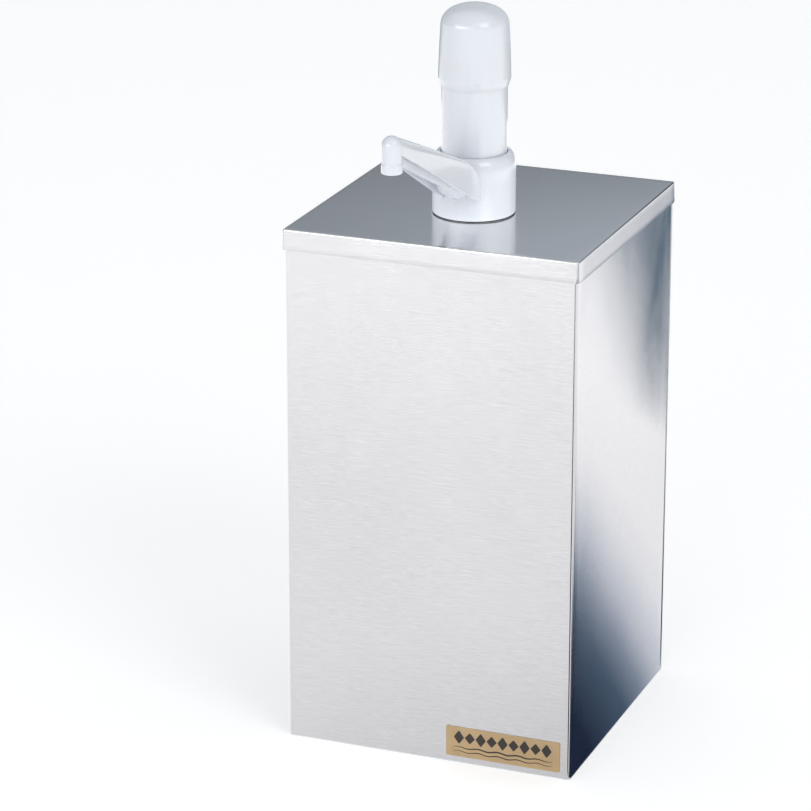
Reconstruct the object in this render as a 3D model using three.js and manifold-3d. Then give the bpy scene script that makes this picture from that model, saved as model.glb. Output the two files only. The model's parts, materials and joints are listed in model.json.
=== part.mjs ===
// Condiment pump dispenser: a stainless box for one jar, its lift-off lid, and a plunger pump in the lid.
// Millimetres, +Z up. The origin is the centre of the box's underside, and the spout points to -Y.
// Heights of the pump and the lid are counted from the lid's top face, and called "above the lid".
import * as THREE from "three";
import { mergeVertices } from "three/addons/utils/BufferGeometryUtils.js";
import Module from "manifold-3d";

const wasm = await Module();
wasm.setup();

// Box and lid
const LID_WIDTH = 190.5;
const LID_DEPTH = 188;
const TOP_Z = 335;
const SKIRT = 13.2;
const SHEET = 0.9;
const SHEET_GAP = 0.3;
const BODY_INSET = 1.3;
const BODY_WIDTH = LID_WIDTH - 2 * BODY_INSET;
const BODY_DEPTH = LID_DEPTH - 2 * BODY_INSET;
const WALL_TOP = TOP_Z - SHEET - SHEET_GAP;
const BEND = 2.2;
const LID_EDGE = 1.2;
const RETURN_FLANGE = 14;
const PAN_FLANGE = 14;

// Label plate on the front wall
const LABEL_WIDTH = 75;
const LABEL_HEIGHT = 20;
const LABEL_THICK = 0.5;
const LABEL_X = 49.8;
const LABEL_Z = 14.5;

// Pump axis, and the radii that fit into each other
const PUMP_Y = -16;
const COLLAR_R = 25.75;
const COLLAR_FOOT = 0.8;
const COLLAR_STRAIGHT = 29;
const COLLAR_TOP = 39;
const MOUTH_R = 20.6;
const MOUTH_LIP = 0.8;
const CHAMBER_R = 22.2;
const CHAMBER_ROOF = 36;
const SHANK_R = 24;
const SHANK_END = -24;
const LID_HOLE_R = 24.4;
const FIT = 0.3;
const SLIP = 0.1;

// Rings around the plunger and the shank, each as [low, high]
const WIPER = [33.4, CHAMBER_ROOF - FIT];
const PACKING = [29.6, 33.1];
const GLAND = [25.6, 29.3];
const WASHER = [-2.3, -1.2];
const WASHER_R = 30;
const NUT = [-12, -2.6];
const NUT_R = 30.5;
const NUT_LOBE = 1.5;
const NUT_LOBES = 8;

// Plunger and knob
const PLUNGER_R = 20.2;
const PLUNGER_BORE = 17.6;
const PLUNGER_FOOT = 27;
const PLUG_FLANGE = 2;
const PLUG_SPIGOT = 8;
const KNOB_LIP_Z = 80.7;
const KNOB_LIP_R = 21.1;
const KNOB_WIDE_Z = 85;
const KNOB_WIDE_R = 22.25;
const KNOB_SHOULDER_Z = 118;
const KNOB_SHOULDER_R = 20.9;
const KNOB_TOP = 130.5;
const KNOB_WALL = 3.2;
const SOCKET_TOP = 101;

// Intake under the lid
const SOCKET_R = 27.3;
const SOCKET_RIM = -13;
const SOCKET_SEAT = -25.6;
const SOCKET_TAPER = -31;
const NECK_TOP = -35;
const NECK_WALL = 3;
const NECK_END = -68;
const CHAMBER_FLOOR = -31.5;
const VALVE_FLOOR = -50.5;
const VALVE_R = 7.6;
const DIP_TUBE_R = 8;
const DIP_TUBE_BORE = 6;
const DIP_CLEARANCE = 12;
const INLET_BALL_R = 5.5;
const INLET_SEAT_R = 4.2;
const CAGE = [-33.6, CHAMBER_FLOOR - 0.4];
const SPRING_SEAT_BORE = 6;
const SPRING_SEAT_R = 19;
const SPRING_R = 15.5;
const SPRING_WIRE_R = 0.9;
const SPRING_FOOT = -29.7;
const SPRING_TOP = PLUNGER_FOOT - FIT;
const SPRING_TURNS = 9;

// Spout: u is the distance from the pump axis towards the front, s the distance along the rising passage
const REACH = 136.5;
const TUBE_START_U = 27.5;
const TUBE_START_Z = 22.5;
const ELBOW_Z = 71;
const CHEST_R = 7.7;
const CHEST_LENGTH = 17;
const CHEST_CONE = 5;
const CHEST_BORE = 5.5;
const BOSS_LENGTH = 9;
const TUBE_R = 4.4;
const TUBE_BORE = 3.2;
const OUTLET_BALL_R = 4;
const OUTLET_SEAT_R = 3;
const OUTLET_SEAT = [0.5, 3.5];
const NOZZLE_BOTTOM = 60.3;
const NOZZLE_STRAIGHT = 16.3;
const NOZZLE_LIP = 6;
const NOZZLE_R = 6.3;
const NOZZLE_NECK_R = 5.95;
const NOZZLE_BORE = 4.2;

// Spout arm: an inverted channel, seen from the side between two straight lines, with a rounded root
const ARM_ROOT_U = 22.3;
const ARM_TIP_U = 133.5;
const ARM_ROOT_HALF = 12.8;
const ARM_NECK_U = 118;
const ARM_NECK_HALF = 8.3;
const ARM_TIP_HALF = 6.1;
const ARM_WALL = 1.6;
const ARM_ROOT_BOTTOM = 13;
const ARM_TIP_BOTTOM = 69.6;
const ARM_ROOT_TOP = 37;
const ARM_TIP_TOP = 81.3;
const ARM_ROUND_U = 48;
const ARM_ROUND_CORNER = [25.5, 38.3];
const ARM_ROUND_FOOT = [ARM_ROOT_U, 25.5];

const ROUND = 32;
const SMALL_ROUND = 20;
const RISE = Math.atan2(ELBOW_Z - TUBE_START_Z, REACH - TUBE_START_U);

const steel = (color, roughness) => new THREE.MeshStandardMaterial({ color, roughness, metalness: 1 });
const plastic = (color, roughness) => new THREE.MeshStandardMaterial({ color, roughness, metalness: 0 });
const BRUSHED = steel(0xd6d7dc, 0.34);
const BRIGHT = steel(0xc9ccd0, 0.18);
const WHITE = plastic(0xf1f3fa, 0.32);
const NATURAL = plastic(0xe9ebe6, 0.45);
const RUBBER = plastic(0x2b2c30, 0.75);
const TAN = plastic(0xc5a878, 0.5);

// A closed geometry as a solid that can be cut and joined.
function solidOf(geometry) {
  const bare = geometry.index ? geometry.toNonIndexed() : geometry.clone();
  const open = new THREE.BufferGeometry();
  open.setAttribute("position", bare.getAttribute("position"));
  const merged = mergeVertices(open, 1e-4);
  const vertProperties = new Float32Array(merged.getAttribute("position").array);
  const triVerts = new Uint32Array(merged.index.array);
  return new wasm.Manifold(new wasm.Mesh({ numProp: 3, vertProperties, triVerts }));
}

function geometryOf(solid) {
  const mesh = solid.getMesh();
  const geometry = new THREE.BufferGeometry();
  geometry.setAttribute("position", new THREE.BufferAttribute(mesh.vertProperties, 3));
  geometry.setIndex(new THREE.BufferAttribute(mesh.triVerts, 1));
  geometry.computeVertexNormals();
  return geometry;
}

// A lathe about Z through [radius, height] points.
function turned(points, segments = ROUND) {
  const profile = points.map(([r, z]) => new THREE.Vector2(r, z));
  return new THREE.LatheGeometry(profile, segments).rotateX(Math.PI / 2);
}

function ring(inner, outer, low, high) {
  return turned([[outer, low], [outer, high], [inner, high], [inner, low], [outer, low]]);
}

function rod(radius, low, high, segments = ROUND) {
  return turned([[0, low], [radius, low], [radius, high], [0, high]], segments);
}

// A quarter ellipse of [radius, height] points from (r0, z0) to (r1, z1), upright where it starts.
function quarter(r0, z0, r1, z1, steps) {
  const points = [];
  for (let i = 0; i <= steps; i += 1) {
    const t = (i / steps) * (Math.PI / 2);
    points.push([r1 + (r0 - r1) * Math.cos(t), z0 + (z1 - z0) * Math.sin(t)]);
  }
  return points;
}

function roundedRect(width, depth, radius, centreY = 0) {
  const shape = new THREE.Shape();
  const x = width / 2 - radius;
  const y = depth / 2 - radius;
  shape.absarc(x, centreY + y, radius, 0, Math.PI / 2);
  shape.absarc(-x, centreY + y, radius, Math.PI / 2, Math.PI);
  shape.absarc(-x, centreY - y, radius, Math.PI, 1.5 * Math.PI);
  shape.absarc(x, centreY - y, radius, 1.5 * Math.PI, 2 * Math.PI);
  shape.closePath();
  return shape;
}

function prism(shape, low, high) {
  const options = { depth: high - low, bevelEnabled: false, curveSegments: 3 };
  return new THREE.ExtrudeGeometry(shape, options).translate(0, 0, low);
}

function block(x0, x1, y0, y1, z0, z1) {
  const geometry = new THREE.BoxGeometry(x1 - x0, y1 - y0, z1 - z0);
  return geometry.translate((x0 + x1) / 2, (y0 + y1) / 2, (z0 + z1) / 2);
}

function cut(geometry, ...tools) {
  return geometryOf(tools.reduce((left, tool) => left.subtract(solidOf(tool)), solidOf(geometry)));
}

function joined(...pieces) {
  return geometryOf(pieces.slice(1).reduce((all, piece) => all.add(solidOf(piece)), solidOf(pieces[0])));
}

function overlapOf(a, b) {
  return geometryOf(solidOf(a).intersect(solidOf(b)));
}

function piece(parent, name, geometry, material) {
  const mesh = new THREE.Mesh(geometry, material);
  mesh.name = name;
  parent.add(mesh);
  return mesh;
}

// Moves a geometry turned about Z so that it lies along the spout's axis, starting at the spout's root.
function alongSpout(geometry) {
  return geometry.rotateX(Math.PI / 2 - RISE).translate(0, -TUBE_START_U, TUBE_START_Z);
}

// Box: front and sides in one bent sheet, with a separate back and floor.
function bodyWrap() {
  const rear = BODY_DEPTH / 2 - SHEET - SHEET_GAP;
  const depth = BODY_DEPTH / 2 + rear;
  const centre = (rear - BODY_DEPTH / 2) / 2;
  const outline = roundedRect(BODY_WIDTH, depth, BEND, centre);
  outline.holes.push(roundedRect(BODY_WIDTH - 2 * SHEET, depth - 2 * SHEET, BEND - SHEET, centre));
  const half = BODY_WIDTH / 2 - RETURN_FLANGE;
  const opening = block(-half, half, rear - 10, rear + 10, -1, WALL_TOP + 1);
  return cut(prism(outline, 0, WALL_TOP), opening);
}

function backPanel() {
  const y = BODY_DEPTH / 2;
  return block(-BODY_WIDTH / 2, BODY_WIDTH / 2, y - SHEET, y, 0, WALL_TOP);
}

function basePan() {
  const width = BODY_WIDTH - 2 * (SHEET + SHEET_GAP);
  const front = -BODY_DEPTH / 2 + SHEET + SHEET_GAP;
  const rear = BODY_DEPTH / 2 - 2 * (SHEET + SHEET_GAP);
  const centre = (front + rear) / 2;
  const outer = prism(roundedRect(width, rear - front, BEND, centre), 0, PAN_FLANGE);
  const hollow = roundedRect(width - 2 * SHEET, rear - front - 2 * SHEET, BEND - SHEET, centre);
  return cut(outer, prism(hollow, SHEET, PAN_FLANGE + 1));
}

function labelPlate() {
  const outline = roundedRect(LABEL_WIDTH, LABEL_HEIGHT, 1.2);
  const plate = prism(outline, 0, LABEL_THICK).rotateX(Math.PI / 2);
  return plate.translate(LABEL_X, -BODY_DEPTH / 2 - 0.05, LABEL_Z);
}

function lidTray() {
  const rolled = new THREE.ExtrudeGeometry(roundedRect(LID_WIDTH, LID_DEPTH, BEND), {
    depth: SKIRT - 2 * LID_EDGE,
    bevelThickness: LID_EDGE,
    bevelSize: LID_EDGE,
    bevelOffset: -LID_EDGE,
    bevelSegments: 3,
    curveSegments: 3,
  }).translate(0, 0, TOP_Z - SKIRT + LID_EDGE);
  const straight = prism(roundedRect(LID_WIDTH, LID_DEPTH, BEND), TOP_Z - SKIRT, TOP_Z - 2 * LID_EDGE);
  const hollow = roundedRect(LID_WIDTH - 2 * SHEET, LID_DEPTH - 2 * SHEET, BEND - SHEET);
  const inside = prism(hollow, TOP_Z - SKIRT - 1, TOP_Z - SHEET);
  const hole = rod(LID_HOLE_R, TOP_Z - 5, TOP_Z + 5).translate(0, PUMP_Y, 0);
  return cut(joined(rolled, straight), inside, hole);
}

// Discharge head: collar on the lid, threaded shank through it, and the boss of the outlet passage.
function dischargeHead() {
  const profile = [[CHAMBER_R, SHANK_END], [SHANK_R, SHANK_END]];
  profile.push([SHANK_R, COLLAR_FOOT], [COLLAR_R, COLLAR_FOOT]);
  profile.push(...quarter(COLLAR_R, COLLAR_STRAIGHT, MOUTH_R + MOUTH_LIP, COLLAR_TOP, 4));
  profile.push([MOUTH_R, COLLAR_TOP], [MOUTH_R, CHAMBER_ROOF]);
  profile.push([CHAMBER_R, CHAMBER_ROOF], [CHAMBER_R, SHANK_END]);
  const collar = turned(profile);
  const boss = alongSpout(rod(CHEST_R, -BOSS_LENGTH, -FIT));
  const chamber = rod(CHAMBER_R, SHANK_END - 1, CHAMBER_ROOF);
  const passage = alongSpout(rod(OUTLET_SEAT_R, -BOSS_LENGTH - 7, 1, SMALL_ROUND));
  const tubeRoom = alongSpout(rod(CHEST_R + FIT, -FIT, 20));
  return cut(joined(collar, cut(boss, chamber)), passage, tubeRoom);
}

// The arm's outline from the side, made as wide as the collar. Inset lowers the top, drop the underside.
function armOutline(inset, drop) {
  const slope = (low, high) => (high - low) / (ARM_TIP_U - ARM_ROOT_U);
  const at = (low, high, u) => low + slope(low, high) * (u - ARM_ROOT_U);
  const from = ARM_ROOT_U - 6;
  const shape = new THREE.Shape();
  shape.moveTo(from, at(ARM_ROOT_BOTTOM, ARM_TIP_BOTTOM, from) - drop);
  shape.lineTo(REACH, at(ARM_ROOT_BOTTOM, ARM_TIP_BOTTOM, REACH) - drop);
  shape.lineTo(REACH, at(ARM_ROOT_TOP, ARM_TIP_TOP, REACH) - inset);
  shape.lineTo(ARM_ROUND_U, at(ARM_ROOT_TOP, ARM_TIP_TOP, ARM_ROUND_U) - inset);
  const [cornerU, cornerZ] = ARM_ROUND_CORNER;
  const [footU, footZ] = ARM_ROUND_FOOT;
  shape.quadraticCurveTo(cornerU + inset / 2, cornerZ - inset, footU, footZ - inset);
  shape.lineTo(from, footZ - inset);
  shape.closePath();
  const options = { depth: 2 * COLLAR_R, bevelEnabled: false, curveSegments: 8 };
  const across = new THREE.ExtrudeGeometry(shape, options);
  return across.translate(0, 0, -COLLAR_R).rotateX(Math.PI / 2).rotateZ(-Math.PI / 2);
}

// The arm's outline from above.
function armPlan(inset) {
  const slope = (ARM_ROOT_HALF - ARM_NECK_HALF) / (ARM_NECK_U - ARM_ROOT_U);
  const axisHalf = ARM_ROOT_HALF + slope * ARM_ROOT_U - inset;
  const shape = new THREE.Shape();
  shape.moveTo(-axisHalf, 0);
  shape.lineTo(-(ARM_NECK_HALF - inset), -ARM_NECK_U);
  shape.lineTo(-(ARM_TIP_HALF - inset), -REACH);
  shape.lineTo(ARM_TIP_HALF - inset, -REACH);
  shape.lineTo(ARM_NECK_HALF - inset, -ARM_NECK_U);
  shape.lineTo(axisHalf, 0);
  shape.closePath();
  return prism(shape, -20, 120);
}

function spoutArm() {
  const outer = overlapOf(armOutline(0, 0), armPlan(0));
  const inner = overlapOf(armOutline(ARM_WALL, 20), armPlan(ARM_WALL));
  const collar = rod(COLLAR_R + FIT, -5, 60);
  const nozzle = rod(NOZZLE_R + FIT, 40, 100).translate(0, -REACH, 0);
  const chest = alongSpout(rod(CHEST_R + FIT, -BOSS_LENGTH - 3, CHEST_LENGTH + 4));
  return cut(outer, inner, collar, nozzle, chest);
}

function spoutTube() {
  const length = (REACH - TUBE_START_U) / Math.cos(RISE) - NOZZLE_BORE + 1;
  const cone = CHEST_LENGTH + CHEST_CONE;
  const stop = CHEST_LENGTH - 3;
  const profile = [[CHEST_BORE, 0], [CHEST_R, 0], [CHEST_R, CHEST_LENGTH], [TUBE_R, cone], [TUBE_R, length]];
  profile.push([TUBE_BORE, length], [TUBE_BORE, stop], [CHEST_BORE, stop], [CHEST_BORE, 0]);
  return alongSpout(turned(profile, SMALL_ROUND));
}

function nozzle() {
  const roof = NOZZLE_BOTTOM + NOZZLE_STRAIGHT;
  const profile = [[0, roof - 2], [NOZZLE_BORE, roof - 3], [NOZZLE_BORE, NOZZLE_BOTTOM]];
  profile.push([NOZZLE_R, NOZZLE_BOTTOM], [NOZZLE_R, NOZZLE_BOTTOM + NOZZLE_LIP]);
  profile.push(...quarter(NOZZLE_NECK_R, roof, 0, roof + NOZZLE_NECK_R, 4));
  const body = turned(profile, SMALL_ROUND).translate(0, -REACH, 0);
  return cut(body, alongSpout(rod(TUBE_R + FIT, 60, (REACH - TUBE_START_U) / Math.cos(RISE))));
}

// The height of a resting ball's centre above the edge of its seat, with a hair of room.
function restHeight(ballRadius, seatRadius) {
  return Math.sqrt(ballRadius ** 2 - seatRadius ** 2) + 0.05;
}

function ball(radius) {
  return new THREE.SphereGeometry(radius, 14, 8).rotateX(Math.PI / 2);
}

// Intake body: screws onto the shank's end, and holds the spring, the foot valve and the dip tube.
function intakeBody() {
  const neck = DIP_TUBE_R + NECK_WALL;
  const shelf = VALVE_FLOOR - 2;
  const profile = [[SOCKET_R, SOCKET_RIM], [SHANK_R + FIT, SOCKET_RIM], [SHANK_R + FIT, SOCKET_SEAT]];
  profile.push([CHAMBER_R, SOCKET_SEAT], [CHAMBER_R, CHAMBER_FLOOR]);
  profile.push([VALVE_R, CHAMBER_FLOOR], [VALVE_R, VALVE_FLOOR]);
  profile.push([INLET_SEAT_R + 0.4, VALVE_FLOOR], [INLET_SEAT_R + 0.4, shelf], [DIP_TUBE_R + FIT, shelf]);
  profile.push([DIP_TUBE_R + FIT, NECK_END], [neck, NECK_END], [neck, VALVE_FLOOR - 1.5]);
  profile.push([neck + 1, VALVE_FLOOR]);
  profile.push([SOCKET_R - 2.5, NECK_TOP], [SOCKET_R, SOCKET_TAPER], [SOCKET_R, SOCKET_RIM]);
  return turned(profile);
}

function ballCage() {
  const reach = VALVE_R - 1;
  const hoop = ring(INLET_BALL_R - 0.9, VALVE_R - FIT, ...CAGE);
  return joined(hoop, block(-reach, reach, -1, 1, ...CAGE));
}

function lockNut() {
  const steps = 64;
  const shape = new THREE.Shape();
  for (let i = 0; i < steps; i += 1) {
    const turn = (i / steps) * 2 * Math.PI;
    const radius = NUT_R + NUT_LOBE * Math.cos(NUT_LOBES * turn);
    shape[i ? "lineTo" : "moveTo"](radius * Math.cos(turn), radius * Math.sin(turn));
  }
  shape.closePath();
  return cut(prism(shape, ...NUT), rod(SHANK_R + FIT, -20, 5));
}

function dipTube() {
  const foot = DIP_CLEARANCE - TOP_Z;
  const slope = 0.6;
  const tube = ring(DIP_TUBE_BORE, DIP_TUBE_R, foot, VALVE_FLOOR - 2.5);
  const slant = new THREE.BoxGeometry(60, 60, 20).translate(0, 0, -10).rotateY(slope);
  return cut(tube, slant.translate(0, 0, foot + DIP_TUBE_R * Math.tan(slope)));
}

// The spring's centre line: an even helix with a closed turn at each end.
class SpringLine extends THREE.Curve {
  getPoint(t) {
    const low = SPRING_FOOT + SPRING_WIRE_R;
    const high = SPRING_TOP - SPRING_WIRE_R;
    const closed = 2 * SPRING_WIRE_R + 0.2;
    const turn = t * SPRING_TURNS;
    const open = (high - low - 2 * closed) / (SPRING_TURNS - 2);
    const last = SPRING_TURNS - 1;
    const middle = Math.min(Math.max(turn - 1, 0), SPRING_TURNS - 2) * open;
    const z = low + closed * (Math.min(turn, 1) + Math.max(turn - last, 0)) + middle;
    const angle = turn * 2 * Math.PI;
    return new THREE.Vector3(SPRING_R * Math.cos(angle), SPRING_R * Math.sin(angle), z);
  }
}

function returnSpring() {
  const section = new THREE.Shape();
  section.absarc(0, 0, SPRING_WIRE_R, 0, 2 * Math.PI);
  return new THREE.ExtrudeGeometry(section, {
    steps: SPRING_TURNS * 12,
    curveSegments: 3,
    bevelEnabled: false,
    extrudePath: new SpringLine(),
  });
}

// Knob: a domed cap whose socket takes the plunger's upper end.
function knobCap() {
  const inner = KNOB_SHOULDER_R - KNOB_WALL;
  const roof = KNOB_TOP - KNOB_WALL;
  const inside = quarter(inner, KNOB_SHOULDER_Z - 2, 0, roof, 4).reverse();
  const profile = [...inside, [inner, SOCKET_TOP], [PLUNGER_R + FIT, SOCKET_TOP]];
  profile.push([PLUNGER_R + FIT, KNOB_LIP_Z], [KNOB_LIP_R, KNOB_LIP_Z]);
  profile.push([KNOB_WIDE_R, KNOB_WIDE_Z], [KNOB_WIDE_R, KNOB_WIDE_Z + 1]);
  profile.push(...quarter(KNOB_SHOULDER_R, KNOB_SHOULDER_Z, 0, KNOB_TOP, 6));
  return turned(profile);
}

function plungerPlug() {
  const spigot = PLUNGER_BORE - FIT;
  const flange = PLUNGER_R - 0.2;
  const wall = 2.5;
  const step = PLUNGER_FOOT + PLUG_FLANGE;
  const top = step + PLUG_SPIGOT;
  return turned([
    [0, PLUNGER_FOOT], [flange, PLUNGER_FOOT], [flange, step], [spigot, step],
    [spigot, top], [spigot - wall, top], [spigot - wall, step + 1], [0, step + 1],
  ]);
}

const dispenser = new THREE.Group();
const pump = new THREE.Group();
pump.position.set(0, PUMP_Y, TOP_Z);
dispenser.add(pump);

piece(dispenser, "body_wrap", bodyWrap(), BRUSHED);
piece(dispenser, "back_panel", backPanel(), BRUSHED);
piece(dispenser, "base_pan", basePan(), BRUSHED);
piece(dispenser, "label_plate", labelPlate(), TAN);
piece(dispenser, "lid", lidTray(), BRUSHED);

const gasketLow = SLIP;
const gasketHigh = COLLAR_FOOT - SLIP;
const barrelLow = SOCKET_SEAT + FIT;
const barrelHigh = SHANK_END - FIT;
const footSeatTop = VALVE_FLOOR + 3.3;
const outletBallS = OUTLET_SEAT[1] + restHeight(OUTLET_BALL_R, OUTLET_SEAT_R);
const inletBallZ = footSeatTop + restHeight(INLET_BALL_R, INLET_SEAT_R);
const plungerLow = PLUNGER_FOOT + PLUG_FLANGE + FIT;
const seatLow = CHAMBER_FLOOR + FIT;
const seatHigh = SPRING_FOOT - FIT;

piece(pump, "collar_gasket", ring(LID_HOLE_R + 0.2, COLLAR_R - 0.4, gasketLow, gasketHigh), RUBBER);
piece(pump, "discharge_head", dischargeHead(), WHITE);
piece(pump, "wiper_seal", ring(PLUNGER_R + SLIP, CHAMBER_R - FIT, ...WIPER), RUBBER);
piece(pump, "plunger_seal", ring(PLUNGER_R + SLIP, CHAMBER_R - FIT, ...PACKING), RUBBER);
piece(pump, "gland_ring", ring(MOUTH_R, CHAMBER_R - FIT, ...GLAND), NATURAL);
piece(pump, "spout_arm", spoutArm(), WHITE);
piece(pump, "spout_tube", spoutTube(), WHITE);
piece(pump, "nozzle", nozzle(), WHITE);
piece(pump, "outlet_valve_seat", alongSpout(ring(OUTLET_SEAT_R, CHEST_BORE - FIT, ...OUTLET_SEAT)), NATURAL);
piece(pump, "outlet_ball", alongSpout(ball(OUTLET_BALL_R).translate(0, 0, outletBallS)), BRIGHT);
piece(pump, "nut_washer", ring(LID_HOLE_R + SLIP, WASHER_R, ...WASHER), NATURAL);
piece(pump, "lock_nut", lockNut(), WHITE);
piece(pump, "intake_body", intakeBody(), WHITE);
piece(pump, "barrel_gasket", ring(CHAMBER_R + SLIP, SHANK_R - SLIP, barrelLow, barrelHigh), RUBBER);
piece(pump, "foot_valve_seat", ring(INLET_SEAT_R, VALVE_R - FIT, VALVE_FLOOR + FIT, footSeatTop), NATURAL);
piece(pump, "inlet_ball", ball(INLET_BALL_R).translate(0, 0, inletBallZ), BRIGHT);
piece(pump, "inlet_ball_cage", ballCage(), NATURAL);
piece(pump, "spring_seat", ring(SPRING_SEAT_BORE, SPRING_SEAT_R, seatLow, seatHigh), BRIGHT);
piece(pump, "return_spring", returnSpring(), BRIGHT);
piece(pump, "dip_tube", dipTube(), NATURAL);

piece(pump, "plunger_plug", plungerPlug(), NATURAL);
piece(pump, "plunger_tube", ring(PLUNGER_BORE, PLUNGER_R, plungerLow, SOCKET_TOP - FIT), WHITE);
piece(pump, "knob", knobCap(), WHITE);

export default dispenser;
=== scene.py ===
"""Looks of a condiment pump dispenser: a brushed stainless box and lid, and a white pump. Metres."""

import json
import math

import bmesh
import bpy
from mathutils import Matrix, Vector


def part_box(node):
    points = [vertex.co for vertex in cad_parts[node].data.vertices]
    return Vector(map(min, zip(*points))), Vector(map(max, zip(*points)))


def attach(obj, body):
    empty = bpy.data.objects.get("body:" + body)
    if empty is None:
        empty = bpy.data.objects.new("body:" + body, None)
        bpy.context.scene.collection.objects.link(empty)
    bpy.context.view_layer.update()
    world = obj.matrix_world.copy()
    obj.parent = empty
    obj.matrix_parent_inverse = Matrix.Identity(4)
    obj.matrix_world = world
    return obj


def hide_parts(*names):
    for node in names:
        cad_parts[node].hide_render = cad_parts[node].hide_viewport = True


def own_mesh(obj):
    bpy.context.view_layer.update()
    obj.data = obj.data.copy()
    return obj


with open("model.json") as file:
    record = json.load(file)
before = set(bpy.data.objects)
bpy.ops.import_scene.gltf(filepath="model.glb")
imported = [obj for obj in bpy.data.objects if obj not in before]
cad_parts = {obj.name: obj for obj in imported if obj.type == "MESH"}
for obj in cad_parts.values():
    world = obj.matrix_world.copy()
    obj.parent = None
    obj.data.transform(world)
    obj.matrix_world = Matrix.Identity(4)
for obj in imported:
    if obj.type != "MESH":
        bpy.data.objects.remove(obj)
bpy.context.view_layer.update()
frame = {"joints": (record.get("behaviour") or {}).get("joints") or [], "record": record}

MM = 0.001
SHEET = 0.9 * MM


def low(node):
    """The low corner of a CAD node's box."""
    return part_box(node)[0]


def high(node):
    """The high corner of a CAD node's box."""
    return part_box(node)[1]


def middle(node):
    return (low(node) + high(node)) / 2


def radius_of(node):
    """The outer radius of a round CAD node."""
    return (high(node).x - low(node).x) / 2


TOP_Z = high("lid").z
PUMP = Vector((middle("knob").x, middle("knob").y, TOP_Z))

# ---------------------------------------------------------------- camera
AZIMUTH = math.radians(21.42)
ELEVATION = math.radians(19.40)
DISTANCE = 2.347
AIM = Vector((-0.05136, 0.0, 0.19667))
LENS = 164.0


def make_camera():
    data = bpy.data.cameras.new("camera")
    data.lens = LENS
    data.sensor_width = 36.0
    data.clip_start = 0.05
    data.clip_end = 60.0
    camera = bpy.data.objects.new("camera", data)
    bpy.context.scene.collection.objects.link(camera)
    flat = math.cos(ELEVATION)
    back = Vector((math.sin(AZIMUTH) * flat, -math.cos(AZIMUTH) * flat, math.sin(ELEVATION)))
    camera.location = AIM + back * DISTANCE
    camera.rotation_mode = "QUATERNION"
    camera.rotation_quaternion = (-back).to_track_quat("-Z", "Y")
    bpy.context.scene.camera = camera


make_camera()

# ---------------------------------------------------------------- node helpers


class Paint:
    """A material with a Principled shader, and short ways to add nodes to it."""

    def __init__(self, name):
        self.material = bpy.data.materials.new(name)
        self.material.use_nodes = True
        self.tree = self.material.node_tree
        self.shader = self.tree.nodes["Principled BSDF"]

    def set(self, **values):
        """Sets the shader's sockets to constants."""
        for key, value in values.items():
            self.shader.inputs[key.replace("_", " ")].default_value = value
        return self

    def node(self, kind, **settings):
        made = self.tree.nodes.new(kind)
        for key, value in settings.items():
            setattr(made, key, value)
        return made

    def link(self, source, target):
        self.tree.links.new(source, target)

    def place(self, output, scale, turn=(0, 0, 0)):
        """Coordinates of one kind, such as UV or Object, turned and then multiplied by scale."""
        coordinate = self.node("ShaderNodeTexCoord")
        mapping = self.node("ShaderNodeMapping")
        mapping.inputs["Scale"].default_value = scale
        mapping.inputs["Rotation"].default_value = turn
        self.link(coordinate.outputs[output], mapping.inputs["Vector"])
        return mapping.outputs["Vector"]

    def noise(self, vector, detail, rough, distortion=0.0):
        """Noise whose size is set by the scale of its coordinates."""
        made = self.node("ShaderNodeTexNoise")
        made.inputs["Scale"].default_value = 1.0
        made.inputs["Detail"].default_value = detail
        made.inputs["Roughness"].default_value = rough
        made.inputs["Distortion"].default_value = distortion
        self.link(vector, made.inputs["Vector"])
        return made.outputs["Fac"]

    def ramp(self, value, stops):
        """A colour ramp through (position, grey or colour) stops."""
        made = self.node("ShaderNodeValToRGB")
        elements = made.color_ramp.elements
        while len(elements) < len(stops):
            elements.new(0.5)
        for element, (position, colour) in zip(elements, stops):
            element.position = position
            rgb = (colour, colour, colour) if isinstance(colour, (int, float)) else colour
            element.color = (*rgb, 1.0)
        self.link(value, made.inputs["Fac"])
        return made.outputs["Color"]

    def span(self, value, low_out, high_out, low_in, high_in):
        """Maps low_in..high_in to low_out..high_out, and stays there outside."""
        made = self.node("ShaderNodeMapRange")
        made.inputs["From Min"].default_value = low_in
        made.inputs["From Max"].default_value = high_in
        made.inputs["To Min"].default_value = low_out
        made.inputs["To Max"].default_value = high_out
        self.link(value, made.inputs["Value"])
        return made.outputs["Result"]

    def combine(self, operation, a, b):
        made = self.node("ShaderNodeMath", operation=operation)
        for slot, value in zip(made.inputs, (a, b)):
            if isinstance(value, (int, float)):
                slot.default_value = value
            else:
                self.link(value, slot)
        return made.outputs["Value"]

    def multiply_colours(self, a, b):
        made = self.node("ShaderNodeMix", data_type="RGBA", blend_type="MULTIPLY")
        factor, first, second = made.inputs[0], made.inputs[6], made.inputs[7]
        factor.default_value = 1.0
        self.link(a, first)
        self.link(b, second)
        return made.outputs[2]

    def bump(self, height, strength, distance):
        made = self.node("ShaderNodeBump")
        made.inputs["Strength"].default_value = strength
        made.inputs["Distance"].default_value = distance
        self.link(height, made.inputs["Height"])
        return made.outputs["Normal"]

    def axes(self):
        """The X, Y and Z outputs of the object coordinates."""
        made = self.node("ShaderNodeSeparateXYZ")
        self.link(self.place("Object", (1, 1, 1)), made.inputs["Vector"])
        return made.outputs

    def wire(self, **sockets):
        """Links outputs to the shader's sockets."""
        for key, source in sockets.items():
            self.link(source, self.shader.inputs[key.replace("_", " ")])
        return self


# ---------------------------------------------------------------- materials
# UV maps are in metres of unrolled sheet, with U along the brushing.


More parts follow.
